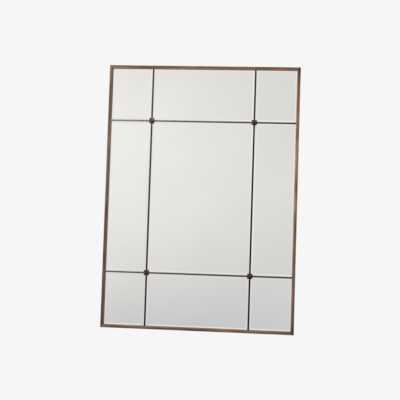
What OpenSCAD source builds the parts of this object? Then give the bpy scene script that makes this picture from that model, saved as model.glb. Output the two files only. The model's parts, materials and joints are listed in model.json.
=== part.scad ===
// Wall mirror: nine bevelled panes behind thin metal bars in a slim wooden frame.
// X runs to the viewer's right and Z up. The glass faces -Y, and the wall is the plane y = 0.

/* [Frame] */
// Width of the whole mirror
frame_w = 800; // [700:10:1100]
// Height of the whole mirror
frame_h = 1100; // [960:10:1500]
// Width of each rail's face, seen from the front
rail_w = 12; // [10.5:0.5:20]
// How far the lip of the frame covers the edge of the glass
lip_cover = 2; // [1.5:0.25:3.5]
// Height of the frame's crown in front of the flat of the glass
lip_rise = 6; // [4.5:0.25:9]
// Gap all round between the glass, board and battens and the inside of the frame
edge_gap = 1; // [0.6:0.1:1.6]
// Width of the rounding at the outer edge of a rail's face
outer_round = 5; // [2:0.5:6]
// Depth of the rounding at the outer edge of a rail's face
outer_drop = 2.6; // [1:0.1:4]
// Width of the rounding at the inner edge of a rail's face
inner_round = 4; // [1:0.5:5]
// Depth of the rounding at the inner edge of a rail's face
inner_drop = 2.8; // [0.6:0.1:3.4]

/* [Glass] */
// Thickness of each mirror pane
glass_t = 4; // [3:0.25:6]
// Thickness left at the thin edge of the bevel
glass_edge_t = 1.9; // [1.2:0.1:2.4]
// Width of the bevel
bevel_w = 10; // [8:0.5:25]
// Width of the joint between two panes
joint_w = 2; // [1.8:0.1:3]

/* [Bars] */
// Distance of each upright bar from the mirror's centre line
bar_x = 214.5; // [150:0.5:260]
// Distance of each cross bar from the mirror's centre line
bar_z = 317.5; // [220:0.5:400]
// Width of a bar's rounded head
bar_w = 7; // [5:0.25:10]
// Height of a bar's rounded head
bar_rise = 2.8; // [1.5:0.1:4]
// Thickness of a bar's stem, which stands in the joint between the panes
stem_t = 1.4; // [0.8:0.1:1.6]
// Gap where one bar ends at another, or at the frame
bar_gap = 0.15; // [0.05:0.05:0.5]
// Height of the bars and the lip clear of the bevel below them
seat_gap = 0.15; // [0.05:0.05:0.3]

/* [Rosettes] */
// Diameter over the tips of the petals
rosette_d = 29; // [20:0.5:36]
// Number of petals
petal_count = 8; // [6:1:10]
// Height of a petal's ridge
petal_h = 3.2; // [2:0.1:5]
// Width of a petal at its middle
petal_w = 7.2; // [4:0.1:8]
// Diameter of the boss in the middle
boss_d = 7.5; // [5:0.25:10]
// Height of the boss in the middle
boss_h = 4.5; // [3.5:0.25:6]
// Diameter of the threaded stud behind the rosette
stud_d = 4; // [3:0.5:5]
// Clearance round the stud where it passes the bars, the glass and the board
stud_clear = 0.3; // [0.2:0.05:0.6]
// Width across the flats of the nut on the stud
nut_w = 7; // [6:0.5:10]
// Thickness of the nut
nut_t = 3.2; // [2:0.1:5]
// Diameter of the washer under the nut
washer_d = 10; // [9:0.5:14]
// Thickness of the washer
washer_t = 0.8; // [0.5:0.1:1.5]

/* [Back] */
// Thickness of the board that the panes are glued to
board_t = 9; // [6:0.5:12]
// Width of the battens behind the board
batten_w = 40; // [34:1:60]
// Thickness of the battens
batten_t = 10; // [9:0.5:18]
// Depth of the battens' backs in front of the back of the frame
batten_recess = 3; // [2.5:0.1:6]
// Thickness of the rubber bumpers between the frame and the wall
bumper_t = 4; // [3.5:0.1:8]
// Diameter of the bumpers
bumper_d = 8; // [5:0.5:8.5]
// Distance of each bumper from the top or bottom of the frame
bumper_inset = 30; // [20:1:80]

/* [Fasteners] */
// Number of clips on the left and on the right
side_clips = 3; // [2:1:4]
// Number of clips at the top and at the bottom
end_clips = 2; // [2:1:3]
// Length of a clip along the rail
clip_l = 14; // [10:0.5:20]
// Thickness of a clip's steel
clip_t = 1.2; // [0.8:0.1:1.6]
// Reach of a clip over the batten
clip_reach = 15; // [12:0.5:20]
// Diameter of the wood screws' shanks
screw_d = 3; // [2.5:0.1:3.5]
// Diameter of the wood screws' heads
screw_head_d = 6; // [5:0.1:7]
// Height of a round screw head
screw_head_h = 1.9; // [1.2:0.1:2.2]
// Length of the screws that hold clips and hangers, under the head
clip_screw_l = 9.5; // [8:0.5:10]
// Thickness of board left in front of the points of the screws through the battens
screw_stop = 3; // [1:0.5:4]
// Length of one leg of a corner nail
nail_leg = 5; // [3:0.25:5.5]
// Thickness of a corner nail
nail_t = 0.7; // [0.4:0.1:1]
// Angle of each leg of a corner nail to the mitre
nail_spread = 30; // [20:5:40]
// Depth that a corner nail is driven to
nail_depth = 7; // [5:0.5:12]

/* [Hangers] */
// Distance of the hanger rings' hinge below the top of the frame
hanger_drop = 250; // [220:5:290]
// Width of a hanger's strap
strap_w = 12; // [10:0.5:14]
// Thickness of a hanger's strap
strap_t = 1.2; // [1:0.1:1.5]
// Length of a hanger's strap below the hinge
strap_l = 46; // [44:0.5:60]
// Diameter of the ring's wire
ring_wire_d = 3; // [2.5:0.1:3.4]
// Width inside the ring
ring_inner_w = 20; // [18:0.5:24]
// Clearance round the wire in the strap's eye
ring_clear = 0.08; // [0.05:0.01:0.1]

/* [Hidden] */

$fn = 48;
// Small extra reach of a cutter past the face it cuts
over = 0.5;
// Clearance round screws, nails and between battens
snug = 0.05;
// Clearance all round a screw where it passes a clip or a strap
hole_clear = 0.2;
// Clearance all round a stud in its washer
washer_clear = 0.15;
// Depth of the corner nails below the back of the frame
nail_sink = 0.2;
// Gap between a clip's step and the inside of the frame
clip_step_gap = 0.2;
// Distance of a clip's end from the outer edge of the frame
clip_margin = 1;
// Length of a stud past its nut
stud_tail = 1.5;
// Diameter at the tip of a screw's point
screw_tip_d = 0.4;
// Size of the chamfer round a bumper's wall side
bumper_chamfer = 0.8;
// Steps in the rounded edge of a rail and in half of a bar's head
arc_steps = 8;

// Depths, from the wall forwards
frame_back = -bumper_t;
batten_back = frame_back - batten_recess;
board_back = batten_back - batten_t;
board_front = board_back - board_t;
glass_front = board_front - glass_t;
frame_front = glass_front - lip_rise;

// The bevel's slope, and where the lip and the bars sit on it
bevel_slope = (glass_t - glass_edge_t) / bevel_w;
lip_back = board_front - glass_edge_t - bevel_slope * lip_cover - seat_gap;
bar_seat = board_front - glass_edge_t - bevel_slope * (bar_w - joint_w) / 2 - seat_gap;
bar_top = bar_seat - bar_rise;
tongue_top = max(bar_seat, lip_back + seat_gap);

// Half sizes of the pack of glass and board, of the sight opening and of the space between battens
wall_t = rail_w - lip_cover - edge_gap;
pack_x = frame_w / 2 - wall_t - edge_gap;
pack_z = frame_h / 2 - wall_t - edge_gap;
sight_x = frame_w / 2 - rail_w;
sight_z = frame_h / 2 - rail_w;
between_x = pack_x - batten_w;

// Ends of the three columns and three rows of panes, and the notch in their corners for the studs
column_x = [[-pack_x, -bar_x - joint_w / 2], [-bar_x + joint_w / 2, bar_x - joint_w / 2],
    [bar_x + joint_w / 2, pack_x]];
row_z = [[-pack_z, -bar_z - joint_w / 2], [-bar_z + joint_w / 2, bar_z - joint_w / 2],
    [bar_z + joint_w / 2, pack_z]];
pane_notch_r = stud_d / 2 + 2 * stud_clear;

// Rosettes: the ridge of a petal is an arc whose centre lies below the petal's base, and each flank
// is part of a sphere set off from the ridge's plane
petal_l = rosette_d / 2 - boss_d / 4;
ridge_r = (petal_l * petal_l / 4 + petal_h * petal_h) / (2 * petal_h);
ridge_drop = ridge_r - petal_h;
flank_off = (ridge_r * ridge_r - ridge_drop * ridge_drop - petal_w * petal_w / 4) / petal_w;
flank_r = sqrt(ridge_r * ridge_r + flank_off * flank_off);

// Hangers: the strap's eye stands off the batten by eye_lift, and its folded end is fold_l long
wire_r = ring_wire_d / 2;
eye_r = wire_r + ring_clear + strap_t;
eye_lift = 0.3;
fold_l = 6;
hinge_y = batten_back + eye_lift + eye_r;
hanger_x = pack_x - batten_w / 2;
hanger_z = frame_h / 2 - hanger_drop;

// The ring has a straight bar, a bend at each end of it, two short legs and a half circle
ring_r = (ring_inner_w + ring_wire_d) / 2;
ring_bend = 3;
ring_leg = 1;
ring_reach = ring_bend + ring_leg + ring_r + wire_r;

// Screws of a strap, as distances below the hinge: the first lies clear of the hanging ring
ring_screw_gap = 3;
hanger_screw_first = ring_reach + screw_head_d / 2 + ring_screw_gap;
hanger_screw_last = strap_l - strap_w / 2;

// Places of the screws through the battens: the last ones lie a batten's width from its ends
side_screw_z = [for (k = [-1, -1 / 3, 1 / 3, 1]) k * (pack_z - batten_w)];
end_screw_x = [for (k = [-1, 0, 1]) k * (between_x - batten_w)];
batten_screw_l = batten_t + board_t - screw_stop;
csk_h = (screw_head_d - screw_d) / 2;

SIDES = ["top", "right", "bottom", "left"];

WALNUT = "#7a614b";
BRONZE = "#3c3935";
MIRROR = "#dcdad6";
FIBREBOARD = "#a3825f";
PINE = "#d8bd8d";
ZINC = "#c3c4c2";
RUBBER = "#26262a";

// Points on an arc of an ellipse from one angle to another
function arc(centre, radii, from, to, steps) =
    [for (i = [0 : steps]) let (a = from + (to - from) * i / steps)
        [centre[0] + radii[0] * cos(a), centre[1] + radii[1] * sin(a)]];

// Section of a rail as [depth, distance from the centre], for an outer edge at reach
function rail_section(reach) = concat(
    [[frame_back, reach]],
    arc([frame_front + outer_drop, reach - outer_round], [-outer_drop, outer_round], 90, 0, arc_steps),
    arc([frame_front + inner_drop, reach - rail_w + inner_round], [-inner_drop, -inner_round],
        0, 90, arc_steps),
    [[lip_back, reach - rail_w], [lip_back, reach - wall_t], [frame_back, reach - wall_t]]);

// Section of a pane from lo to hi, as [place, depth]
function pane_section(lo, hi) = [
    [lo, board_front], [hi, board_front],
    [hi, board_front - glass_edge_t], [hi - bevel_w, glass_front],
    [lo + bevel_w, glass_front], [lo, board_front - glass_edge_t]];

// Section of a bar, as [place, depth]
BAR_SECTION = concat(
    arc([0, bar_seat], [bar_w / 2, -bar_rise], 0, 180, 2 * arc_steps),
    [[-stem_t / 2, bar_seat], [-stem_t / 2, board_front], [stem_t / 2, board_front], [stem_t / 2, bar_seat]]);

// Quarter turns that bring a side to the top, where its pieces are drawn
function quarter_turns(side) = search([side], SIDES)[0];

// True for the top and the bottom, which run along X
function is_end(side) = side == "top" || side == "bottom";

// Length of a side and distance of its outer edge from the centre
function side_length(side) = is_end(side) ? frame_w : frame_h;
function side_reach(side) = (is_end(side) ? frame_h : frame_w) / 2;

// Places of a side's clips along it
function clip_spots(side) = let (count = is_end(side) ? end_clips : side_clips)
    [for (i = [0 : count - 1]) side_length(side) * ((i + 0.5) / count - 0.5)];

// Radius of the sphere that has a cap of diameter d and height h
function cap_r(d, h) = (d * d / 4 + h * h) / (2 * h);

// A flat outline in X and Z, given thickness from depth front to depth back
module slab(front, back) {
    translate([0, back, 0]) rotate([90, 0, 0]) linear_extrude(back - front) children();
}

// A shape drawn along Z, turned to point forwards from the wall side
module facing_front(x, y, z) {
    translate([x, y, z]) rotate([90, 0, 0]) children();
}

// A shape drawn at the top of the frame, turned to its own side
module on_side(side) {
    rotate([0, 90 * quarter_turns(side), 0]) children();
}

// The domed cap of a sphere, on height 0
module cap(d, h) {
    intersection() {
        translate([0, 0, h - cap_r(d, h)]) sphere(r = cap_r(d, h));
        cylinder(d = d, h = h);
    }
}

// Frame

module rail(side) {
    length = side_length(side);
    reach = side_reach(side);
    inner = reach - rail_w - over;
    half = length / 2 - rail_w - over;
    color(WALNUT) on_side(side) difference() {
        intersection() {
            translate([-length / 2 - over, 0, 0]) rotate([90, 0, 90])
                linear_extrude(length + 2 * over) polygon(rail_section(reach));
            slab(frame_front - over, frame_back + over) polygon([
                [-length / 2 - over, reach + over], [length / 2 + over, reach + over],
                [half, inner], [-half, inner]]);
        }
        for (x = clip_spots(side)) facing_front(x, frame_back + over, reach - wall_t / 2)
            cylinder(d = screw_d + 2 * snug, h = clip_screw_l - clip_t + over + snug);
        translate([-length / 2, 0, reach]) corner_nail(snug, over);
        translate([length / 2, 0, reach]) rotate([0, 90, 0]) corner_nail(snug, over);
    }
}

// One V-shaped nail in the mitre of a corner whose outer edges meet at the origin, the frame being
// towards +X and -Z
module corner_nail(grow, above) {
    tip = (wall_t - nail_leg * cos(45 - nail_spread)) / 2;
    translate([tip, 0, -tip]) for (turn = [-nail_spread, nail_spread]) rotate([0, 45 + turn, 0])
        translate([-nail_t / 2 - grow, frame_back - nail_depth - grow, -nail_t / 2 - grow])
            cube([nail_leg + nail_t / 2 + 2 * grow, nail_depth + grow + above, nail_t + 2 * grow]);
}

module corner_nails() {
    color(ZINC) for (side = SIDES) on_side(side)
        translate([-side_length(side) / 2, 0, side_reach(side)]) corner_nail(0, -nail_sink);
}

// Mirror panes

module pane(x_lo, x_hi, z_lo, z_hi) {
    color(MIRROR) difference() {
        intersection() {
            translate([0, 0, z_lo]) linear_extrude(z_hi - z_lo) polygon(pane_section(x_lo, x_hi));
            translate([x_lo, 0, 0]) rotate([90, 0, 90]) linear_extrude(x_hi - x_lo)
                polygon([for (p = pane_section(z_lo, z_hi)) [p[1], p[0]]]);
        }
        for (x = [-bar_x, bar_x], z = [-bar_z, bar_z])
            if (x > x_lo - joint_w && x < x_hi + joint_w && z > z_lo - joint_w && z < z_hi + joint_w)
                stud_hole(x, z, pane_notch_r);
    }
}

module stud_hole(x, z, r) {
    facing_front(x, board_back + over, z) cylinder(r = r, h = board_back - bar_top + 2 * over);
}

module pane_at(column, row) {
    pane(column_x[column][0], column_x[column][1], row_z[row][0], row_z[row][1]);
}

// Bars

// A bar along Z, with the ends of its head and of its stem
module bar_along(head_lo, head_hi, stem_lo, stem_hi) {
    translate([0, 0, head_lo]) linear_extrude(head_hi - head_lo) polygon(BAR_SECTION);
    translate([-stem_t / 2, tongue_top, stem_lo])
        cube([stem_t, board_front - tongue_top, stem_hi - stem_lo]);
}

module upright_bar(x) {
    color(BRONZE) difference() {
        translate([x, 0, 0]) bar_along(-sight_z + bar_gap, sight_z - bar_gap, -pack_z, pack_z);
        for (z = [-bar_z, bar_z]) stud_hole(x, z, stud_d / 2 + stud_clear);
    }
}

// A cross bar from one upright bar to the other
module middle_cross_bar(z) {
    head = bar_x - bar_w / 2 - bar_gap;
    stem = bar_x - stem_t / 2 - bar_gap;
    color(BRONZE) difference() {
        translate([0, 0, z]) rotate([0, 90, 0]) bar_along(-head, head, -stem, stem);
        for (x = [-bar_x, bar_x]) stud_hole(x, z, stud_d / 2 + stud_clear);
    }
}

// A cross bar from an upright bar to the frame, on the side that is -1 or 1
module side_cross_bar(side, z) {
    color(BRONZE) difference() {
        translate([0, 0, z]) rotate([0, side * 90, 0])
            bar_along(bar_x + bar_w / 2 + bar_gap, sight_x - bar_gap, bar_x + stem_t / 2 + bar_gap, pack_x);
        stud_hole(side * bar_x, z, stud_d / 2 + stud_clear);
    }
}

// Rosettes

module petal() {
    translate([rosette_d / 2 - petal_l / 2, 0, -ridge_drop]) intersection() {
        translate([0, flank_off, 0]) sphere(r = flank_r);
        translate([0, -flank_off, 0]) sphere(r = flank_r);
    }
}

module rosette(x, z) {
    disc_d = 1.5 * boss_d;
    disc_h = 0.45 * petal_h;
    dome_h = boss_d / 4;
    stud_l = board_back + washer_t + nut_t + stud_tail - bar_top;
    color(BRONZE) facing_front(x, bar_top - snug, z) {
        intersection() {
            union() {
                for (i = [0 : petal_count - 1]) rotate(i * 360 / petal_count) petal();
                cylinder(d = disc_d, h = disc_h);
            }
            cylinder(d = rosette_d + 2 * over, h = boss_h);
        }
        cylinder(d = boss_d, h = boss_h - dome_h);
        translate([0, 0, boss_h - dome_h]) cap(boss_d, dome_h);
        translate([0, 0, -stud_l]) cylinder(d = stud_d, h = stud_l + disc_h);
    }
}

module rosette_washers() {
    color(ZINC) for (x = [-bar_x, bar_x], z = [-bar_z, bar_z])
        facing_front(x, board_back + washer_t, z) difference() {
            cylinder(d = washer_d, h = washer_t);
            translate([0, 0, -over]) cylinder(r = stud_d / 2 + washer_clear, h = washer_t + 2 * over);
        }
}

module rosette_nuts() {
    color(ZINC) for (x = [-bar_x, bar_x], z = [-bar_z, bar_z])
        facing_front(x, board_back + washer_t + nut_t, z) difference() {
            cylinder(r = nut_w / sqrt(3), h = nut_t, $fn = 6);
            translate([0, 0, -over]) cylinder(r = stud_d / 2 + snug, h = nut_t + 2 * over);
        }
}

// Board and battens

module backing_board() {
    color(FIBREBOARD) difference() {
        slab(board_front, board_back) square([2 * pack_x, 2 * pack_z], center = true);
        for (x = [-bar_x, bar_x], z = [-bar_z, bar_z]) stud_hole(x, z, stud_d / 2 + stud_clear);
        batten_screw_cuts();
    }
}

module batten(x_lo, x_hi, z_lo, z_hi) {
    color(PINE) difference() {
        slab(board_back, batten_back) translate([x_lo, z_lo]) square([x_hi - x_lo, z_hi - z_lo]);
        children();
    }
}

module side_batten(side) {
    batten(side > 0 ? between_x : -pack_x, side > 0 ? pack_x : -between_x, -pack_z, pack_z) {
        for (z = side_screw_z) countersunk_cut(side * hanger_x, z);
        clip_screw_cuts(side > 0 ? "right" : "left");
        for (drop = [hanger_screw_first, hanger_screw_last])
            facing_front(side * hanger_x, batten_back + over, hanger_z - drop)
                cylinder(d = screw_d + 2 * snug, h = clip_screw_l - strap_t + over + snug);
    }
}

module end_batten(side) {
    batten(-between_x + snug, between_x - snug,
        side > 0 ? pack_z - batten_w : -pack_z, side > 0 ? pack_z : batten_w - pack_z) {
        for (x = end_screw_x) countersunk_cut(x, side * (pack_z - batten_w / 2));
        clip_screw_cuts(side > 0 ? "top" : "bottom");
    }
}

module batten_middle() {
    batten(-between_x + snug, between_x - snug, -batten_w / 2, batten_w / 2)
        for (x = end_screw_x) countersunk_cut(x, 0);
}

// Pilot holes in a batten for the clips of one side
module clip_screw_cuts(side) {
    on_side(side) for (x = clip_spots(side))
        facing_front(x, batten_back + over, side_reach(side) - wall_t - edge_gap - clip_reach / 2)
            cylinder(d = screw_d + 2 * snug, h = clip_screw_l - clip_t + over + snug);
}

// Places of all the screws through the battens, as [x, z]
BATTEN_SCREWS = concat(
    [for (side = [-1, 1], z = side_screw_z) [side * hanger_x, z]],
    [for (side = [-1, 1], x = end_screw_x) [x, side * (pack_z - batten_w / 2)]],
    [for (x = end_screw_x) [x, 0]]);

module countersunk_cut(x, z) {
    facing_front(x, batten_back, z) {
        translate([0, 0, -over]) cylinder(d = screw_head_d + 2 * snug, h = over + snug);
        cylinder(d1 = screw_head_d + 2 * snug, d2 = screw_d + 2 * snug, h = csk_h + snug);
        cylinder(d = screw_d + 2 * snug, h = batten_screw_l + snug);
    }
}

module batten_screw_cuts() {
    for (p = BATTEN_SCREWS) facing_front(p[0], board_back + over, p[1])
        cylinder(d = screw_d + 2 * snug, h = batten_screw_l - batten_t + over + snug);
}

// Screws

// Cross-shaped recess of a screw head whose top is at height 0, cut towards +Z
module cross_recess() {
    slot_l = 0.55 * screw_head_d;
    slot_w = 0.14 * screw_head_d;
    slot_h = 0.6 * screw_head_h;
    for (turn = [0, 90]) rotate(turn)
        translate([-slot_l / 2, -slot_w / 2, -over]) cube([slot_l, slot_w, over + slot_h]);
}

// A pointed shank from height 0 to its length
module shank(length) {
    cylinder(d = screw_d, h = length - screw_d);
    translate([0, 0, length - screw_d]) cylinder(d1 = screw_d, d2 = screw_tip_d, h = screw_d);
}

// A round-headed screw whose head sits on height 0
module round_screw(length) {
    difference() {
        mirror([0, 0, 1]) cap(screw_head_d, screw_head_h);
        translate([0, 0, -screw_head_h]) cross_recess();
    }
    shank(length);
}

// A countersunk screw whose flat head is flush with height 0
module countersunk_screw(length) {
    difference() {
        union() {
            cylinder(d1 = screw_head_d, d2 = screw_d, h = csk_h);
            shank(length);
        }
        cross_recess();
    }
}

module batten_screws() {
    color(ZINC) for (p = BATTEN_SCREWS) facing_front(p[0], batten_back, p[1])
        countersunk_screw(batten_screw_l);
}

// Clips that hold the board and battens in the frame

module frame_clips() {
    step_lo = wall_t + clip_step_gap;
    step_hi = step_lo + clip_t;
    end = wall_t + edge_gap + clip_reach;
    color(ZINC) for (side = SIDES, x = clip_spots(side)) on_side(side) difference() {
        translate([x - clip_l / 2, 0, side_reach(side)]) rotate([90, 0, 90]) linear_extrude(clip_l) polygon([
            [frame_back, -clip_margin], [frame_back + clip_t, -clip_margin],
            [frame_back + clip_t, -step_hi], [batten_back + clip_t, -step_hi],
            [batten_back + clip_t, -end], [batten_back, -end],
            [batten_back, -step_lo], [frame_back, -step_lo]]);
        for (p = clip_screw_places(side)) facing_front(x, p[1] + over, p[0])
            cylinder(d = screw_d + 2 * hole_clear, h = clip_t + 2 * over);
    }
}

// The two screws of a clip on one side, as [distance from the centre, depth of the head's seat]
function clip_screw_places(side) = [
    [side_reach(side) - wall_t / 2, frame_back + clip_t],
    [side_reach(side) - wall_t - edge_gap - clip_reach / 2, batten_back + clip_t]];

module clip_screws() {
    color(ZINC) for (side = SIDES, x = clip_spots(side), p = clip_screw_places(side))
        on_side(side) facing_front(x, p[1], p[0]) round_screw(clip_screw_l);
}

module wall_bumpers() {
    color(RUBBER) for (x = [-1, 1], z = [-1, 1])
        facing_front(x * (frame_w / 2 - wall_t / 2), 0, z * (frame_h / 2 - bumper_inset)) {
            cylinder(d1 = bumper_d - 2 * bumper_chamfer, d2 = bumper_d, h = bumper_chamfer);
            translate([0, 0, bumper_chamfer]) cylinder(d = bumper_d, h = bumper_t - bumper_chamfer);
        }
}

// Hangers

module hanger_strap(side) {
    color(ZINC) translate([side * hanger_x, 0, hanger_z]) difference() {
        union() {
            rotate([0, 90, 0]) translate([0, hinge_y, 0]) cylinder(r = eye_r, h = strap_w, center = true);
            slab(batten_back, batten_back + strap_t) {
                translate([-strap_w / 2, strap_w / 2 - strap_l]) square([strap_w, strap_l - strap_w / 2]);
                translate([0, strap_w / 2 - strap_l]) circle(d = strap_w);
            }
            translate([-strap_w / 2, batten_back, -fold_l]) cube([strap_w, 2 * strap_t, fold_l]);
        }
        rotate([0, 90, 0]) translate([0, hinge_y, 0])
            cylinder(r = wire_r + ring_clear, h = strap_w + 2 * over, center = true);
        for (drop = [hanger_screw_first, hanger_screw_last])
            facing_front(0, batten_back + strap_t + over, -drop)
                cylinder(d = screw_d + 2 * hole_clear, h = strap_t + 2 * over);
    }
}

// The ring hangs down from its straight bar, which lies in the strap's eye
module hanger_ring(side) {
    straight = ring_r - ring_bend;
    color(ZINC) translate([side * hanger_x, hinge_y, hanger_z]) {
        rotate([0, 90, 0]) cylinder(r = wire_r, h = 2 * straight, center = true);
        for (end = [0, 1]) mirror([end, 0, 0]) {
            translate([straight, 0, -ring_bend]) rotate([90, 0, 0]) rotate_extrude(angle = 90)
                translate([ring_bend, 0]) circle(r = wire_r);
            translate([ring_r, 0, -ring_bend - ring_leg]) cylinder(r = wire_r, h = ring_leg);
        }
        translate([0, 0, -ring_bend - ring_leg]) rotate([-90, 0, 0]) rotate_extrude(angle = 180)
            translate([ring_r, 0]) circle(r = wire_r);
    }
}

module hanger_screws() {
    color(ZINC) for (side = [-1, 1], drop = [hanger_screw_first, hanger_screw_last])
        facing_front(side * hanger_x, batten_back + strap_t, hanger_z - drop) round_screw(clip_screw_l);
}

rail("left");  // left_stile
rail("right");  // right_stile
rail("top");  // top_rail
rail("bottom");  // bottom_rail
corner_nails();
pane_at(0, 2);  // pane_top_left
pane_at(1, 2);  // pane_top_centre
pane_at(2, 2);  // pane_top_right
pane_at(0, 1);  // pane_middle_left
pane_at(1, 1);  // pane_middle_centre
pane_at(2, 1);  // pane_middle_right
pane_at(0, 0);  // pane_bottom_left
pane_at(1, 0);  // pane_bottom_centre
pane_at(2, 0);  // pane_bottom_right
upright_bar(-bar_x);  // left_upright_bar
upright_bar(bar_x);  // right_upright_bar
side_cross_bar(-1, bar_z);  // upper_bar_left
middle_cross_bar(bar_z);  // upper_bar_centre
side_cross_bar(1, bar_z);  // upper_bar_right
side_cross_bar(-1, -bar_z);  // lower_bar_left
middle_cross_bar(-bar_z);  // lower_bar_centre
side_cross_bar(1, -bar_z);  // lower_bar_right
rosette(-bar_x, bar_z);  // rosette_top_left
rosette(bar_x, bar_z);  // rosette_top_right
rosette(-bar_x, -bar_z);  // rosette_bottom_left
rosette(bar_x, -bar_z);  // rosette_bottom_right
rosette_washers();
rosette_nuts();
backing_board();
side_batten(-1);  // batten_left
side_batten(1);  // batten_right
end_batten(1);  // batten_top
end_batten(-1);  // batten_bottom
batten_middle();
batten_screws();
frame_clips();
clip_screws();
wall_bumpers();
hanger_strap(-1);  // left_hanger_strap
hanger_strap(1);  // right_hanger_strap
hanger_ring(-1);  // left_hanger_ring
hanger_ring(1);  // right_hanger_ring
hanger_screws();
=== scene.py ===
# A wall mirror of nine bevelled panes, with dark metal bars over the joints and a slim walnut frame.
# Lengths are in metres: X runs to the viewer's right, Z up, the glass faces -Y and the wall is y = 0.

import json
import math

import bmesh
import bpy
from mathutils import Matrix, Vector


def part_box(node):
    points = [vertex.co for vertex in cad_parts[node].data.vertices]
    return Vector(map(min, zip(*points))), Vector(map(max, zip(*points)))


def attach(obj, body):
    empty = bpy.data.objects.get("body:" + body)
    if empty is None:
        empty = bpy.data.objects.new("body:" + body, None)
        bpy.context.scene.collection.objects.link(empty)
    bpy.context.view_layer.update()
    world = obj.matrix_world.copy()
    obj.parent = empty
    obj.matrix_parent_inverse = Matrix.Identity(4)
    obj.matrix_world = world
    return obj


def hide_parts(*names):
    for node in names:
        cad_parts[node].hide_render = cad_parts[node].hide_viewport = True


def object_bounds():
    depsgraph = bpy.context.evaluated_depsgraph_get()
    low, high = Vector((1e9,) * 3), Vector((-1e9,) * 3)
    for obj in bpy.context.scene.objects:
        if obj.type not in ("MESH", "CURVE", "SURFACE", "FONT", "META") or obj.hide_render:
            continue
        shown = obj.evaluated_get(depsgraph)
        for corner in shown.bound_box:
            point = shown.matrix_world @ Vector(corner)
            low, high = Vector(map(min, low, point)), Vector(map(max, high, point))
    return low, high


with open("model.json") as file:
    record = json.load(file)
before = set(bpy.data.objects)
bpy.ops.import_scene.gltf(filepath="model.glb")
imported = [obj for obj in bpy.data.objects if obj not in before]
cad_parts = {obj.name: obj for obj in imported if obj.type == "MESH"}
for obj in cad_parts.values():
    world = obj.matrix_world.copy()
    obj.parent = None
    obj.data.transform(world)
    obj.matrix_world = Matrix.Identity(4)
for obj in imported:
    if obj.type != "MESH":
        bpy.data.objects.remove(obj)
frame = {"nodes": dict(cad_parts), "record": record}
cad_box = [list(corner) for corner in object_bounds()]

MM = 0.001
# Painted light and shade drift over this length of their way, half of it to each side of the mirror's
# middle
DRIFT_LENGTH = 1000 * MM
# The painted light on the bronze fades along this way, from the mirror's upper left to its lower right,
# and counts X and Z in part
PAINTED_LIGHT_WAY = (0.7, 0.0, -0.45)
# The frame's right outer corners, where the wood is darkened with painted shade
SHADED_CORNERS = [(cad_box[1][0], cad_box[0][1], z) for z in (cad_box[0][2], cad_box[1][2])]
# How far the painted shade spreads from them, and the share of that way over which it stays at its darkest
CORNER_SHADE_SPREAD = (12.5 * MM, 20 * MM, 80 * MM)
CORNER_SHADE_HEART = 0.35
# The body and the material slot of each node
BODY_OF = {node: body for body, members in frame["record"]["behaviour"]["bodies"].items()
           for node in members}
SLOT_OF = {part["node"]: part["material_slot"] for part in frame["record"]["subparts"]}


# Nodes and colours

def linear(colour):
    """The linear RGBA of an sRGB hex colour."""
    channels = [int(colour[i:i + 2], 16) / 255 for i in (1, 3, 5)]
    return [c / 12.92 if c <= 0.04045 else ((c + 0.055) / 1.055) ** 2.4 for c in channels] + [1.0]


def add(tree, kind, inputs=None, stops=None, **settings):
    """Adds a node to a material or world. Each input gets a value, or a link from a socket. A colour
    ramp gets stops, from its first position to its last."""
    node = tree.nodes.new("ShaderNode" + kind)
    for name, value in settings.items():
        setattr(node, name, value)
    for key, value in (inputs or {}).items():
        if isinstance(value, bpy.types.NodeSocket):
            tree.links.new(value, node.inputs[key])
        else:
            node.inputs[key].default_value = value
    if stops:
        ramp = node.color_ramp.elements
        ramp[0].position, ramp[-1].position = stops[0][0], stops[-1][0]
        for position, _ in stops[1:-1]:
            ramp.new(position)
        for stop, (_, colour) in zip(ramp, stops):
            stop.color = linear(colour)
    return node


def new_material(name):
    """An empty material, its node tree and the place on the object in metres."""
    material = bpy.data.materials.new(name)
    material.use_nodes = True
    tree = material.node_tree
    tree.nodes.clear()
    return material, tree, add(tree, "TexCoord")


def finish_material(tree, shader):
    add(tree, "OutputMaterial", {"Surface": shader.outputs[0]})


def painted_light_drift(tree, place, way, tones):
    """A tone that drifts across the object, evenly from one to the next of its tones, along a way: painted
    light and shade that fall off across the mirror.
    """
    along = add(tree, "VectorMath", {0: place.outputs["Object"], 1: way}, operation="DOT_PRODUCT")
    share = add(tree, "MapRange", {"Value": along.outputs["Value"], "From Min": -DRIFT_LENGTH / 2,
                                   "From Max": DRIFT_LENGTH / 2})
    last = len(tones) - 1
    return add(tree, "ValToRGB", {"Fac": share.outputs["Result"]},
               stops=[(i / last, tone) for i, tone in enumerate(tones)]).outputs["Color"]


# Materials

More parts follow.
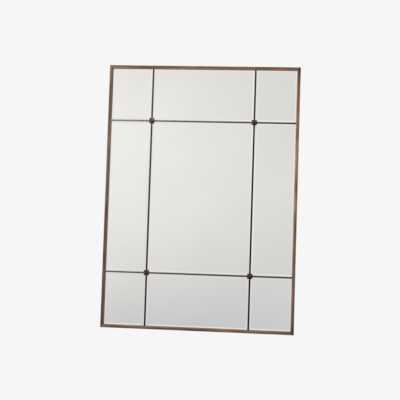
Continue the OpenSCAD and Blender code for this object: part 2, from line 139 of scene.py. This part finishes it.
def walnut(name, grain_along, tones, start):
    """American walnut, moulded, stained and waxed: brown with long dark streaks that lean to red or to
    olive, fine pores that run with the grain, paler faces turned from the front, partly where the stained
    finish is rubbed and partly a painted sheen, and painted shade at the two right outer corners.
    grain_along is 'X' or 'Z'. Each rail is cut from its own stick, whose figure starts at its own place,
    and painted shade darkens its tones away from the left or the top, as the light falls off."""
    material, tree, place = new_material(name)
    # Size of each pattern along and across the grain
    lengths = {"streak": (95 * MM, 3.6 * MM), "figure": (240 * MM, 16 * MM), "hue": (60 * MM, 7 * MM),
               "fibre": (22 * MM, 0.9 * MM), "pore": (6 * MM, 0.45 * MM)}
    noise = {}
    for pattern, (along, across) in lengths.items():
        size = (along, across, across) if grain_along == "X" else (across, across, along)
        spot = add(tree, "Mapping", {"Vector": place.outputs["Object"], "Location": (start, start, start),
                                     "Scale": [1 / s for s in size]})
        noise[pattern] = add(tree, "TexNoise", {
            "Vector": spot.outputs["Vector"], "Scale": 1.0, "Detail": 3.0,
            "Roughness": 0.55}).outputs["Fac"]
    streaks = add(tree, "ValToRGB", {"Fac": noise["streak"]}, stops=(
        (0.32, "#58432f"), (0.45, "#886b51"), (0.55, "#a38468"), (0.68, "#c8a886")))
    # Painted shade: each stick darkens away from the left or the top, as the light falls off
    drift = painted_light_drift(tree, place, (1, 0, 0) if grain_along == "X" else (0, 0, -1), tones)
    colour = add(tree, "Mix", {0: 1.0, 6: streaks.outputs["Color"], 7: drift}, data_type="RGBA",
                 blend_type="MULTIPLY").outputs[2]
    # How much of each other pattern the wood takes, and the pattern's darkest and palest shade
    layers = {"figure": (0.75, "#b3aca4", "#ffffff"), "hue": (1.0, "#ffebe2", "#f6f5e4"),
              "fibre": (0.6, "#d8d0c8", "#ffffff")}
    for pattern, (share, low, high) in layers.items():
        shade = add(tree, "ValToRGB", {"Fac": noise[pattern]}, stops=((0.36, low), (0.64, high)))
        colour = add(tree, "Mix", {0: share, 6: colour, 7: shade.outputs["Color"]},
                     data_type="RGBA", blend_type="MULTIPLY").outputs[2]
    # Faces turned from the front are paler: partly the rubbed finish, partly a painted sheen
    facing = add(tree, "SeparateXYZ", {"Vector": place.outputs["Normal"]})
    rub_and_sheen = add(tree, "MapRange", {"Value": facing.outputs["Y"], "From Min": -0.9, "From Max": -0.6,
                                      "To Min": 0.0, "To Max": 0.22})
    rubbed = add(tree, "Mix", {0: rub_and_sheen.outputs["Result"], 6: colour, 7: linear("#dcbd9f")},
                 data_type="RGBA")
    pores = add(tree, "MapRange", {"Value": noise["pore"], "From Min": 0.6, "From Max": 0.7,
                                   "To Min": 0.0, "To Max": 0.6})
    pored = add(tree, "Mix", {0: pores.outputs["Result"], 6: rubbed.outputs[2], 7: linear("#33241a")},
                data_type="RGBA")
    colour = pored.outputs[2]
    # Painted shade at the two right outer corners of the frame
    for corner in SHADED_CORNERS:
        off = add(tree, "Mapping", {"Vector": place.outputs["Object"],
                                    "Location": [-c / s for c, s in zip(corner, CORNER_SHADE_SPREAD)],
                                    "Scale": [1 / s for s in CORNER_SHADE_SPREAD]})
        gap = add(tree, "VectorMath", {0: off.outputs["Vector"]}, operation="LENGTH")
        corner_shade = add(tree, "MapRange", {"Value": gap.outputs["Value"], "From Min": CORNER_SHADE_HEART,
                                       "To Min": 1.0, "To Max": 0.0})
        colour = add(tree, "Mix", {0: corner_shade.outputs["Result"], 6: colour, 7: linear("#2e2622")},
                     data_type="RGBA", blend_type="MULTIPLY").outputs[2]
    satin = add(tree, "MapRange", {"Value": noise["streak"], "To Min": 0.36, "To Max": 0.56})
    relief = add(tree, "Bump", {"Height": noise["pore"], "Strength": 0.3, "Distance": 0.1 * MM})
    finish_material(tree, add(tree, "BsdfPrincipled", {
        "Base Color": colour, "Roughness": satin.outputs["Result"],
        "Normal": relief.outputs["Normal"], "Specular IOR Level": 0.35}))
    return material


def silvered_glass():
    """Float glass, silvered behind, with polished bevels: a clear reflection with a trace of green, a
    faint cloudiness in the silver, and ground edges under grey backing paint."""
    material, tree, place = new_material("silvered_float_glass")
    cloud = add(tree, "TexNoise", {
        "Vector": place.outputs["Object"], "Scale": 1 / (220 * MM), "Detail": 3.0, "Roughness": 0.5})
    silver = add(tree, "ValToRGB", {"Fac": cloud.outputs["Fac"]}, stops=(
        (0.3, "#f3f2f1"), (0.7, "#f7f6f6")))
    haze = add(tree, "MapRange", {"Value": cloud.outputs["Fac"], "To Min": 0.012, "To Max": 0.03})
    mirror = add(tree, "BsdfPrincipled", {
        "Base Color": silver.outputs["Color"], "Metallic": 1.0, "Roughness": haze.outputs["Result"]})
    grit = add(tree, "TexNoise", {
        "Vector": place.outputs["Object"], "Scale": 1 / (1.2 * MM), "Detail": 2.0, "Roughness": 0.7})
    ground = add(tree, "ValToRGB", {"Fac": grit.outputs["Fac"]}, stops=(
        (0.35, "#7d8a84"), (0.65, "#a3b0a8")))
    edge = add(tree, "BsdfPrincipled", {"Base Color": ground.outputs["Color"], "Roughness": 0.55})
    facing = add(tree, "SeparateXYZ", {"Vector": place.outputs["Normal"]})
    front = add(tree, "Math", {0: facing.outputs["Y"], 1: -0.7}, operation="LESS_THAN")
    finish_material(tree, add(tree, "MixShader", {
        0: front.outputs["Value"], 1: edge.outputs[0], 2: mirror.outputs[0]}))
    return material


def dark_bronze(name, deep, worn, worn_share, dust_and_light_share, tones):
    """Bronze with a dark wax patina: nearly black in the hollows, with the warm metal coming through
    where it is handled, a pale layer on what faces up that is partly dust and partly painted light from
    above, and a satin that breaks up highlights. Painted shade deepens the patina from the upper left
    to the lower right of the mirror, where less light is reflected."""
    material, tree, place = new_material(name)
    patches = add(tree, "TexNoise", {
        "Vector": place.outputs["Object"], "Scale": 1 / (9 * MM), "Detail": 5.0, "Roughness": 0.65})
    mottled = add(tree, "ValToRGB", {"Fac": patches.outputs["Fac"]}, stops=((0.36, deep), (0.64, worn)))
    facing = add(tree, "SeparateXYZ", {"Vector": place.outputs["Normal"]})
    crown = add(tree, "MapRange", {"Value": facing.outputs["Y"], "From Min": -0.75, "From Max": -1.0,
                                   "To Min": 0.0, "To Max": worn_share})
    rubbed = add(tree, "Mix", {0: crown.outputs["Result"], 6: mottled.outputs["Color"],
                               7: linear("#8c8273")}, data_type="RGBA")
    # Painted shade: darker from the upper left to the lower right, where less light is reflected
    drift = painted_light_drift(tree, place, PAINTED_LIGHT_WAY, tones)
    patina = add(tree, "Mix", {0: 1.0, 6: rubbed.outputs[2], 7: drift}, data_type="RGBA",
                 blend_type="MULTIPLY")
    # Paler on what faces up: partly dust, partly painted light from above
    dust_and_top_light = add(tree, "MapRange", {"Value": facing.outputs["Z"], "From Min": 0.25, "From Max": 0.9,
                                   "To Min": 0.0, "To Max": dust_and_light_share})
    dusty = add(tree, "Mix", {0: dust_and_top_light.outputs["Result"], 6: patina.outputs[2], 7: linear("#a29d93")},
                data_type="RGBA")
    satin = add(tree, "MapRange", {"Value": patches.outputs["Fac"], "From Min": 0.3, "From Max": 0.7,
                                   "To Min": 0.32, "To Max": 0.5})
    relief = add(tree, "Bump", {"Height": patches.outputs["Fac"], "Strength": 0.2, "Distance": 0.15 * MM})
    finish_material(tree, add(tree, "BsdfPrincipled", {
        "Base Color": dusty.outputs[2], "Metallic": 0.8, "Roughness": satin.outputs["Result"],
        "Normal": relief.outputs["Normal"]}))
    return material


def pine(name, grain_along):
    """Planed pine, unfinished: pale yellow with orange late-wood lines along the grain."""
    material, tree, place = new_material(name)
    noise = {}
    for pattern, (along, across) in {"ring": (420 * MM, 5 * MM), "fibre": (25 * MM, 0.8 * MM)}.items():
        size = (along, across, across) if grain_along == "X" else (across, across, along)
        spot = add(tree, "Mapping", {"Vector": place.outputs["Object"], "Scale": [1 / s for s in size]})
        noise[pattern] = add(tree, "TexNoise", {
            "Vector": spot.outputs["Vector"], "Scale": 1.0, "Detail": 3.0, "Roughness": 0.55})
    rings = add(tree, "ValToRGB", {"Fac": noise["ring"].outputs["Fac"]}, stops=(
        (0.3, "#c79a63"), (0.44, "#e3c898"), (0.5, "#cfa671"), (0.56, "#e4cb9d"), (0.7, "#e6cfa3")))
    fibres = add(tree, "ValToRGB", {"Fac": noise["fibre"].outputs["Fac"]}, stops=(
        (0.35, "#e2dcd2"), (0.65, "#ffffff")))
    wood = add(tree, "Mix", {0: 0.8, 6: rings.outputs["Color"], 7: fibres.outputs["Color"]},
               data_type="RGBA", blend_type="MULTIPLY")
    relief = add(tree, "Bump", {"Height": noise["fibre"].outputs["Fac"], "Strength": 0.3,
                                "Distance": 0.1 * MM})
    finish_material(tree, add(tree, "BsdfPrincipled", {
        "Base Color": wood.outputs[2], "Roughness": 0.7, "Normal": relief.outputs["Normal"]}))
    return material


def fibreboard():
    """Raw medium-density fibreboard: a flat brown felt of short fibres with darker flecks."""
    material, tree, place = new_material("raw_fibreboard")
    fibres = add(tree, "TexNoise", {
        "Vector": place.outputs["Object"], "Scale": 1 / (1.6 * MM), "Detail": 4.0, "Roughness": 0.7})
    cloud = add(tree, "TexNoise", {
        "Vector": place.outputs["Object"], "Scale": 1 / (160 * MM), "Detail": 3.0, "Roughness": 0.5})
    felt = add(tree, "ValToRGB", {"Fac": fibres.outputs["Fac"]}, stops=(
        (0.3, "#7c5e42"), (0.42, "#9c7b59"), (0.58, "#a8875f"), (0.7, "#bb9b78")))
    pressed = add(tree, "ValToRGB", {"Fac": cloud.outputs["Fac"]}, stops=(
        (0.3, "#efebe6"), (0.7, "#ffffff")))
    board = add(tree, "Mix", {0: 1.0, 6: felt.outputs["Color"], 7: pressed.outputs["Color"]},
                data_type="RGBA", blend_type="MULTIPLY")
    relief = add(tree, "Bump", {"Height": fibres.outputs["Fac"], "Strength": 0.2, "Distance": 0.1 * MM})
    finish_material(tree, add(tree, "BsdfPrincipled", {
        "Base Color": board.outputs[2], "Roughness": 0.8, "Normal": relief.outputs["Normal"]}))
    return material


def plated_steel(name, dull, bright):
    """Zinc-plated steel: a soft grey metal with cloudy crystals and small scuffs."""
    material, tree, place = new_material(name)
    crystals = add(tree, "TexVoronoi", {"Vector": place.outputs["Object"], "Scale": 1 / (2.2 * MM)})
    scuffs = add(tree, "TexNoise", {
        "Vector": place.outputs["Object"], "Scale": 1 / (3.5 * MM), "Detail": 5.0, "Roughness": 0.7})
    mottle = add(tree, "Mix", {0: 0.35, 6: scuffs.outputs["Fac"], 7: crystals.outputs["Distance"]},
                 data_type="RGBA")
    plating = add(tree, "ValToRGB", {"Fac": mottle.outputs[2]}, stops=((0.32, dull), (0.62, bright)))
    satin = add(tree, "MapRange", {"Value": scuffs.outputs["Fac"], "From Min": 0.3, "From Max": 0.7,
                                   "To Min": 0.26, "To Max": 0.46})
    finish_material(tree, add(tree, "BsdfPrincipled", {
        "Base Color": plating.outputs["Color"], "Metallic": 1.0, "Roughness": satin.outputs["Result"]}))
    return material


def moulded_rubber():
    """Moulded rubber: a dusty near-black with a fine matt grain."""
    material, tree, place = new_material("moulded_rubber")
    grain = add(tree, "TexNoise", {
        "Vector": place.outputs["Object"], "Scale": 1 / (0.9 * MM), "Detail": 3.0, "Roughness": 0.6})
    dust = add(tree, "ValToRGB", {"Fac": grain.outputs["Fac"]}, stops=(
        (0.35, "#1d1d20"), (0.65, "#35353a")))
    relief = add(tree, "Bump", {"Height": grain.outputs["Fac"], "Strength": 0.3, "Distance": 0.1 * MM})
    finish_material(tree, add(tree, "BsdfPrincipled", {
        "Base Color": dust.outputs["Color"], "Roughness": 0.75, "Normal": relief.outputs["Normal"]}))
    return material


# Each stick's tones are partly its own and partly painted shade that darkens it away from the upper left
WALNUT = {"left_stile": walnut("waxed_walnut_left", "Z", ("#f1f5fa", "#d9d8d7", "#9f9d9a"), 0.0),
          "right_stile": walnut("waxed_walnut_right", "Z",
                                ("#ffffff", "#f8f7f7", "#f1f0ef", "#e9e8e6", "#c4c1be"), 3.7),
          "top_rail": walnut("waxed_walnut_top", "X", ("#eaeef5", "#d3d2d1"), 7.1),
          "bottom_rail": walnut("waxed_walnut_bottom", "X", ("#d2d0d0", "#d2d0d0"), 9.3)}
LEVEL_PINE = pine("planed_pine_level", "X")
UPRIGHT_PINE = pine("planed_pine_upright", "Z")
BATTENS = {"batten_left": UPRIGHT_PINE, "batten_right": UPRIGHT_PINE, "batten_top": LEVEL_PINE,
           "batten_bottom": LEVEL_PINE, "batten_middle": LEVEL_PINE}
GLASS = silvered_glass()
# One bronze as a shaded and a lit copy: the uprights' darker colours are painted shade, the crossing bars'
# paler ones painted light from above
SHADED_UPRIGHT_BRONZE = dark_bronze("patinated_bronze_upright_painted_shade", "#464543", "#5d5b57", 0.1, 0.6,
                             ("#ffffff", "#b8b8b8", "#626262", "#242424"))
LIT_CROSS_BRONZE = dark_bronze("patinated_bronze_cross_painted_light", "#817f79", "#9b9992", 0.2, 0.6,
                           ("#ffffff", "#a4a4a4", "#707070", "#454545"))
CAST_BRONZE = dark_bronze("patinated_cast_bronze", "#262121", "#453d3c", 0.28, 0.4,
                          ("#ffffff", "#e4dedc", "#b6a7a5", "#7c6462"))
BARS = {node: SHADED_UPRIGHT_BRONZE if node.endswith("upright_bar") else LIT_CROSS_BRONZE
        for node in frame["nodes"] if SLOT_OF[node] == "dark_metal"}
BOARD = fibreboard()
ZINC = plated_steel("zinc_plated_steel", "#a3a5a4", "#d3d5d4")
YELLOW_ZINC = plated_steel("yellow_passivated_steel", "#b3924e", "#dcc585")
RUBBER = moulded_rubber()


# Making pieces

def make_piece(name, shell, material, nodes, smooth_angle=50):
    """Turns a bmesh into a piece that stands for CAD nodes, and rides and is painted as they are."""
    bmesh.ops.recalc_face_normals(shell, faces=shell.faces)
    mesh = bpy.data.meshes.new(name)
    shell.to_mesh(mesh)
    shell.free()
    mesh.materials.append(material)
    if smooth_angle:
        mesh.shade_smooth()
        mesh.set_sharp_from_angle(angle=math.radians(smooth_angle))
    piece = bpy.data.objects.new(name, mesh)
    bpy.context.scene.collection.objects.link(piece)
    if smooth_angle:
        even = piece.modifiers.new("even_flats", "WEIGHTED_NORMAL")
        even.keep_sharp = True
    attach(piece, BODY_OF[nodes[0]])
    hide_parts(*nodes)
    return piece


def cad_shell(node):
    """A CAD node's mesh with its loose triangles merged and its flat faces whole."""
    shell = bmesh.new()
    shell.from_mesh(frame["nodes"][node].data)
    bmesh.ops.remove_doubles(shell, verts=shell.verts, dist=0.002 * MM)
    bmesh.ops.dissolve_limit(shell, angle_limit=math.radians(0.2), verts=shell.verts, edges=shell.edges)
    return shell


def sharp_edges(shell, angle):
    """The edges whose faces meet at more than an angle in degrees."""
    return [e for e in shell.edges
            if len(e.link_faces) == 2 and e.calc_face_angle() > math.radians(angle)]


def round_edges(shell, edges, width, steps=2):
    """Rounds edges, and joins the corners that meet where an edge is too short for its rounding."""
    bmesh.ops.bevel(shell, geom=edges, affect="EDGES", offset=width, offset_type="OFFSET", segments=steps,
                    profile=0.5, material=-1, clamp_overlap=True)
    bmesh.ops.remove_doubles(shell, verts=shell.verts, dist=0.005 * MM)
    bmesh.ops.dissolve_degenerate(shell, dist=0.002 * MM, edges=shell.edges)


def dress(node, finish, material, arris, angle=30, steps=2, smooth_angle=50):
    """A CAD node with its sharp edges eased by an arris, as a piece of its own."""
    shell = cad_shell(node)
    round_edges(shell, sharp_edges(shell, angle), arris, steps)
    return make_piece(node + "_" + finish, shell, material, [node], smooth_angle)


# Frame: four mitred rails, whose edges are eased with a few strokes of fine paper

for node, stick in WALNUT.items():
    dress(node, "walnut", stick, 0.25 * MM)

# Panes: the line between the flat and the bevel is polished crisp, with a narrow arris

for row in ("top", "middle", "bottom"):
    for column in ("left", "centre", "right"):
        dress("pane_%s_%s" % (row, column), "glass", GLASS, 0.2 * MM, angle=6, steps=1, smooth_angle=0)

# Bars: rounded strips with softened edges

for node, strip in BARS.items():
    dress(node, "bronze", strip, 0.15 * MM)

# Back: board, battens, bumpers and fittings

dress("backing_board", "board", BOARD, 0.3 * MM)
for node, lath in BATTENS.items():
    dress(node, "pine", lath, 0.8 * MM)
dress("wall_bumpers", "rubber", RUBBER, 0.3 * MM)
for node, arris in {"rosette_nuts": 0.3 * MM, "rosette_washers": 0.1 * MM, "frame_clips": 0.2 * MM,
                    "left_hanger_strap": 0.2 * MM, "right_hanger_strap": 0.2 * MM}.items():
    dress(node, "steel", ZINC, arris)


# Rosettes: eight pointed petals with raised midribs, a small calyx over them and a beaded boss

ROSETTES = [node for node in frame["nodes"] if SLOT_OF[node] == "cast_rosette"]
PETALS = 8
# How finely a petal is divided: steps round it, and rings from the middle of the flower to its tips
PETAL_SECTORS = 16
PETAL_RINGS = 18
# Powers that shape the outline of a petal, the fall of its flanks and its swell towards the tip
OUTLINE_POWER = 0.58
FLANK_POWER = 1.4
SWELL_POWER = 2.4
# Share of the height that the valley between two petals lacks, and how far out it is fully deep
VALLEY_DEPTH = 0.62
VALLEY_START = 0.2
# Height and half width of the midrib
RIB_HEIGHT = 0.32 * MM
RIB_REACH = 0.5 * MM
# Size of the flat back of a ring of petals, as a share of its outline
BACK_SHARE = 0.95


def petal_outline(share, tip, notch):
    """Radius of the outline, for a share of the way from a petal's axis to the notch beside it."""
    return notch + (tip - notch) * (1 - share) ** OUTLINE_POWER


def petal_ring(shell, tip, notch, base, edge, crown, turn):
    """A ring of petals with its back on height base, drawn along Z: a field of heights over a grid
    that is bent into a disc, closed by a flat back."""
    before = set(shell.verts)
    bmesh.ops.create_grid(shell, x_segments=PETALS * PETAL_SECTORS, y_segments=PETAL_RINGS, size=0.5)
    for v in [v for v in shell.verts if v not in before]:
        angle = (v.co.x + 0.5) * 2 * math.pi
        out = v.co.y + 0.5
        sector = (angle / (2 * math.pi) * PETALS + 0.5) % 1 - 0.5
        share = min(1.0, abs(sector) * 2)
        reach = petal_outline(share, tip, notch) * out
        beside = abs(reach * math.sin(sector * 2 * math.pi / PETALS))
        fall = VALLEY_DEPTH * share ** FLANK_POWER * min(1.0, out / VALLEY_START)
        swell = math.sqrt(max(0.0, 1 - out ** SWELL_POWER)) * (1 - fall)
        rib = RIB_HEIGHT * math.exp(-(beside / RIB_REACH) ** 2) * (1 - out) ** 0.5
        v.co = (reach * math.cos(angle + turn), reach * math.sin(angle + turn),
                base + edge + (crown - edge) * swell + rib)
    fresh = [v for v in shell.verts if v not in before]
    bmesh.ops.remove_doubles(shell, verts=fresh, dist=0.01 * MM)
    rim = [e for e in shell.edges if e.is_boundary and e.verts[0] not in before]
    wall = bmesh.ops.extrude_edge_only(shell, edges=rim)
    for v in [v for v in wall["geom"] if isinstance(v, bmesh.types.BMVert)]:
        v.co = (v.co.x * BACK_SHARE, v.co.y * BACK_SHARE, base)
    edges = [e for e in wall["geom"] if isinstance(e, bmesh.types.BMEdge)]
    bmesh.ops.contextual_create(shell, geom=edges)


def turned(shell, profile, steps=32):
    """A turned shape along Z, from points as (radius, height)."""
    verts = [shell.verts.new((r, 0, h)) for r, h in profile]
    edges = [shell.edges.new(pair) for pair in zip(verts, verts[1:])]
    bmesh.ops.spin(shell, geom=verts + edges, cent=(0, 0, 0), axis=(0, 0, 1), angle=2 * math.pi,
                   steps=steps, use_merge=True)


def dome(radius, low, high, steps):
    """Points up a dome of a radius from its rim at height low to its top at height high."""
    return [(radius * math.cos(a), low + (high - low) * math.sin(a))
            for a in [math.pi / 2 * i / steps for i in range(steps + 1)]]


# Boss: its radius, the heights of its foot, its shoulder and the foot of its dome, and the dome's share
# of its radius
BOSS_R = 3.4 * MM
BOSS_FOOT = 1.5 * MM
BOSS_SHOULDER = 3.3 * MM
DOME_FOOT = 3.5 * MM
DOME_SHARE = 0.92
# Beads round the boss: their number, radius, distance from the middle and height
BEADS = 12
BEAD_R = 0.5 * MM
BEAD_REACH = 3.75 * MM
BEAD_HEIGHT = 3.35 * MM
# Thread of the stud: its turns and pitch, and the radii of its crests, its roots and its end
THREAD_TURNS = 12
THREAD_PITCH = 0.7 * MM
CREST_R = 1.98 * MM
ROOT_R = 1.55 * MM
END_R = 1.5 * MM
# The stud goes this far into the flower
STUD_BITE = 0.5 * MM


def make_rosette(node):
    low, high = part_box(node)
    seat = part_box("left_upright_bar")[0].y
    tip = (high.x - low.x) / 2
    top = seat - low.y
    stud_l = high.y - seat
    shell = bmesh.new()
    petal_ring(shell, tip=tip, notch=0.68 * tip, base=0.0, edge=0.7 * MM, crown=3.0 * MM, turn=0.0)
    petal_ring(shell, tip=0.5 * tip, notch=0.36 * tip, base=2.2 * MM, edge=0.25 * MM, crown=1.2 * MM,
               turn=math.pi / PETALS)
    turned(shell, [(0.0, BOSS_FOOT), (BOSS_R, BOSS_FOOT), (BOSS_R, BOSS_SHOULDER)]
           + dome(BOSS_R * DOME_SHARE, DOME_FOOT, top, 8)[:-1] + [(0.0, top)])
    for i in range(BEADS):
        angle = math.radians(360 / BEADS * i)
        bead = bmesh.ops.create_uvsphere(shell, u_segments=10, v_segments=8, radius=BEAD_R)
        bmesh.ops.translate(shell, verts=bead["verts"], vec=(
            BEAD_REACH * math.cos(angle), BEAD_REACH * math.sin(angle), BEAD_HEIGHT))
    thread = [(0.0, -stud_l), (END_R, -stud_l)]
    for i in range(THREAD_TURNS):
        thread.append((CREST_R, -stud_l + (i + 0.7) * THREAD_PITCH))
        thread.append((ROOT_R, -stud_l + (i + 1.2) * THREAD_PITCH))
    thread.append((CREST_R, -stud_l + (THREAD_TURNS + 1) * THREAD_PITCH))
    turned(shell, thread + [(CREST_R, STUD_BITE), (0.0, STUD_BITE)], 24)
    bmesh.ops.remove_doubles(shell, verts=shell.verts, dist=0.001 * MM)
    # Joined faces come in another order on each run, so the order of their corners sorts them
    shell.verts.index_update()
    for i, face in enumerate(sorted(shell.faces, key=lambda f: sorted(v.index for v in f.verts))):
        face.index = i
    shell.faces.sort()
    place = Matrix.Translation(((low.x + high.x) / 2, seat, (low.z + high.z) / 2))
    bmesh.ops.transform(shell, matrix=place @ Matrix.Rotation(math.pi / 2, 4, "X"), verts=shell.verts)
    make_piece(node + "_casting", shell, CAST_BRONZE, [node], 60)


for node in ROSETTES:
    make_rosette(node)

# Finish of every CAD node, which shows on those that no piece replaces

for node, shown in frame["nodes"].items():
    finish = {"frame_wood": WALNUT.get(node), "mirror_glass": GLASS, "dark_metal": BARS.get(node),
              "cast_rosette": CAST_BRONZE, "fibreboard": BOARD, "pine": BATTENS.get(node),
              "zinc_steel": ZINC, "yellow_zinc": YELLOW_ZINC, "rubber": RUBBER}[SLOT_OF[node]]
    for material_slot in shown.material_slots:
        material_slot.material = finish


# Surround: a plain pale studio, whose soft patches the panes reflect

# Colour of the backdrop and the floor, and of the near floor in the panes
BACKDROP = "#f6f6f6"
FLOOR_IN_GLASS = "#e9e8e6"
# Strength of the light that comes from all round
AMBIENT = 0.56
# Depth of the floor below the mirror's middle, and the floor's diameter
FLOOR_DROP = 1.5
FLOOR_WIDTH = 19.0
# Near the object this share of the floor is plain colour, and the rest takes the object's shadow
PLAIN_SHARE = 0.75
# The floor's own shade fades out between these distances from the object, and with it the horizon
SHADOW_REACH = (1.8, 3.2)
# In the panes the floor pales between these distances, until it keeps this share of its own colour there
GLASS_PALING = (3.0, 6.0)
PALED_SHARE = 0.2
# In the panes the floor gives way to the surround between these distances
GLASS_REACH = (6.6, 9.4)
# Soft patches of the surround in front of the mirror: X and Z of their direction, reach and strength
PATCHES = ((-0.257, 0.014, 0.363, 0.278), (-0.218, -0.259, 0.442, -0.42),
           (0.4, 0.0, 0.4, 0.14), (-0.62, 0.0, 0.34, 0.13), (-0.1, 0.6, 0.3, 0.14),
           (0.97, 0.1, 0.85, -0.4), (-0.97, 0.1, 0.62, -0.3),
           (0.354, -0.156, 0.3, -0.2), (0.234, 0.259, 0.28, 0.15),
           (-0.579, -0.174, 0.26, -0.13), (-0.57, 0.242, 0.25, 0.07))
# Level of the surround where there is no patch
PATCH_BASE = 0.755


def make_world():
    world = bpy.data.worlds.new("pale_studio")
    bpy.context.scene.world = world
    world.use_nodes = True
    tree = world.node_tree
    tree.nodes.clear()
    direction = add(tree, "TexCoord").outputs["Generated"]
    level = None
    for x, z, reach, strength in PATCHES:
        towards = Vector((x, -math.sqrt(1 - x * x - z * z), z))
        gap = add(tree, "VectorMath", {0: direction, 1: towards}, operation="DISTANCE")
        patch = add(tree, "MapRange", {"Value": gap.outputs["Value"], "From Min": 0.0, "From Max": reach,
                                       "To Min": strength, "To Max": 0.0}, interpolation_type="SMOOTHSTEP")
        level = add(tree, "Math", {0: patch.outputs["Result"],
                                   1: level.outputs["Value"] if level else PATCH_BASE}, operation="ADD")
    tint = add(tree, "ValToRGB", {"Fac": level.outputs["Value"]}, stops=(
        (0.0, "#000000"), (0.62, "#cccecf"), (0.76, "#e2e1df"), (0.9, "#f3f2ef"), (1.0, "#fffefb")))
    path = add(tree, "LightPath")
    shown = add(tree, "Mix", {0: path.outputs["Is Camera Ray"], 6: tint.outputs["Color"],
                              7: linear(BACKDROP)}, data_type="RGBA")
    clear = add(tree, "Math", {0: path.outputs["Is Glossy Ray"], 1: path.outputs["Is Transmission Ray"]},
                operation="MAXIMUM")
    seen = add(tree, "Math", {0: clear.outputs["Value"], 1: path.outputs["Is Camera Ray"]},
               operation="MAXIMUM")
    soft = add(tree, "Background", {"Color": linear("#ffffff"), "Strength": AMBIENT})
    plain = add(tree, "Background", {"Color": shown.outputs[2], "Strength": 1.0})
    both = add(tree, "MixShader", {0: seen.outputs["Value"], 1: soft.outputs[0], 2: plain.outputs[0]})
    add(tree, "OutputWorld", {"Surface": both.outputs[0]})


def make_floor():
    """A pale floor that shows the backdrop's colour and keeps a part of the object's shadow."""
    material, tree, place = new_material("pale_floor")
    paint = add(tree, "BsdfDiffuse", {"Color": linear(BACKDROP)})
    path = add(tree, "LightPath")
    spread = add(tree, "VectorMath", {0: place.outputs["Object"]}, operation="LENGTH")
    paler = add(tree, "MapRange", {"Value": spread.outputs["Value"], "From Min": GLASS_PALING[0],
                                   "From Max": GLASS_PALING[1], "To Min": 1.0, "To Max": PALED_SHARE})
    duller = add(tree, "Math", {0: path.outputs["Is Glossy Ray"], 1: paler.outputs["Result"]},
                 operation="MULTIPLY")
    shown = add(tree, "Mix", {0: duller.outputs["Value"], 6: linear(BACKDROP), 7: linear(FLOOR_IN_GLASS)},
                data_type="RGBA")
    plain = add(tree, "Emission", {"Color": shown.outputs[2], "Strength": 1.0})
    seen = add(tree, "Math", {0: path.outputs["Is Camera Ray"], 1: path.outputs["Is Glossy Ray"]},
               operation="MAXIMUM")
    plainer = add(tree, "MapRange", {"Value": spread.outputs["Value"], "From Min": SHADOW_REACH[0],
                                     "From Max": SHADOW_REACH[1], "To Min": PLAIN_SHARE, "To Max": 1.0})
    share = add(tree, "Math", {0: seen.outputs["Value"], 1: plainer.outputs["Result"]},
                operation="MULTIPLY")
    near = add(tree, "MixShader", {0: share.outputs["Value"], 1: paint.outputs[0], 2: plain.outputs[0]})
    parting = add(tree, "MapRange", {"Value": spread.outputs["Value"], "From Min": GLASS_REACH[0],
                                     "From Max": GLASS_REACH[1], "To Min": 0.0, "To Max": 1.0},
                  interpolation_type="SMOOTHSTEP")
    gone = add(tree, "Math", {0: path.outputs["Is Glossy Ray"], 1: parting.outputs["Result"]},
               operation="MULTIPLY")
    clear = add(tree, "BsdfTransparent")
    finish_material(tree, add(tree, "MixShader", {0: gone.outputs["Value"], 1: near.outputs[0],
                                                  2: clear.outputs[0]}))
    shell = bmesh.new()
    bmesh.ops.create_circle(shell, cap_ends=True, segments=96, radius=FLOOR_WIDTH / 2)
    bmesh.ops.translate(shell, verts=shell.verts, vec=(0, 0, -FLOOR_DROP))
    mesh = bpy.data.meshes.new("floor")
    shell.to_mesh(mesh)
    shell.free()
    mesh.materials.append(material)
    floor = bpy.data.objects.new("floor", mesh)
    bpy.context.scene.collection.objects.link(floor)


def make_lamp(name, azimuth, elevation, distance, size, share):
    """A square soft lamp. share is the part of a white sheet's full brightness that it gives, face on."""
    data = bpy.data.lights.new(name, "AREA")
    data.shape = "SQUARE"
    data.size = size
    data.energy = share * math.pi ** 2 * distance ** 2
    lamp = bpy.data.objects.new(name, data)
    bpy.context.scene.collection.objects.link(lamp)
    a, e = math.radians(azimuth), math.radians(elevation)
    back = Vector((math.sin(a) * math.cos(e), -math.cos(a) * math.cos(e), math.sin(e)))
    lamp.location = back * distance
    lamp.rotation_euler = back.to_track_quat("Z", "Y").to_euler()


# Camera, solved from the frame's corners and the crossings of the bars in the photograph

CAMERA_AZIMUTH = math.radians(5.59)
CAMERA_ELEVATION = math.radians(-2.91)
CAMERA_ROLL = math.radians(1.87)
CAMERA_DISTANCE = 3.5
CAMERA_SHIFT = (-0.4 * MM, -9.9 * MM)
LENS = 76.1
SENSOR = 36.0


def make_camera():
    data = bpy.data.cameras.new("camera")
    data.sensor_fit = "HORIZONTAL"
    data.sensor_width = SENSOR
    data.lens = LENS
    data.clip_start, data.clip_end = 0.1, 60.0
    camera = bpy.data.objects.new("camera", data)
    bpy.context.scene.collection.objects.link(camera)
    bpy.context.scene.camera = camera
    a, e = CAMERA_AZIMUTH, CAMERA_ELEVATION
    back = Vector((math.sin(a) * math.cos(e), -math.cos(a) * math.cos(e), math.sin(e)))
    level = Vector((math.cos(a), math.sin(a), 0))
    right = Matrix.Rotation(CAMERA_ROLL, 3, back) @ level
    up = back.cross(right)
    target = Vector((0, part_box("left_stile")[0].y, 0))
    place = target + back * CAMERA_DISTANCE + right * CAMERA_SHIFT[0] + up * CAMERA_SHIFT[1]
    camera.matrix_world = Matrix.Translation(place) @ Matrix((right, up, back)).transposed().to_4x4()


make_world()
make_floor()
make_lamp("key", azimuth=-56, elevation=50, distance=4.5, size=2.4, share=0.85)
make_lamp("back_key", azimuth=162, elevation=45, distance=4.5, size=2.8, share=0.5)
make_camera()
bpy.context.scene.view_settings.view_transform = "Standard"
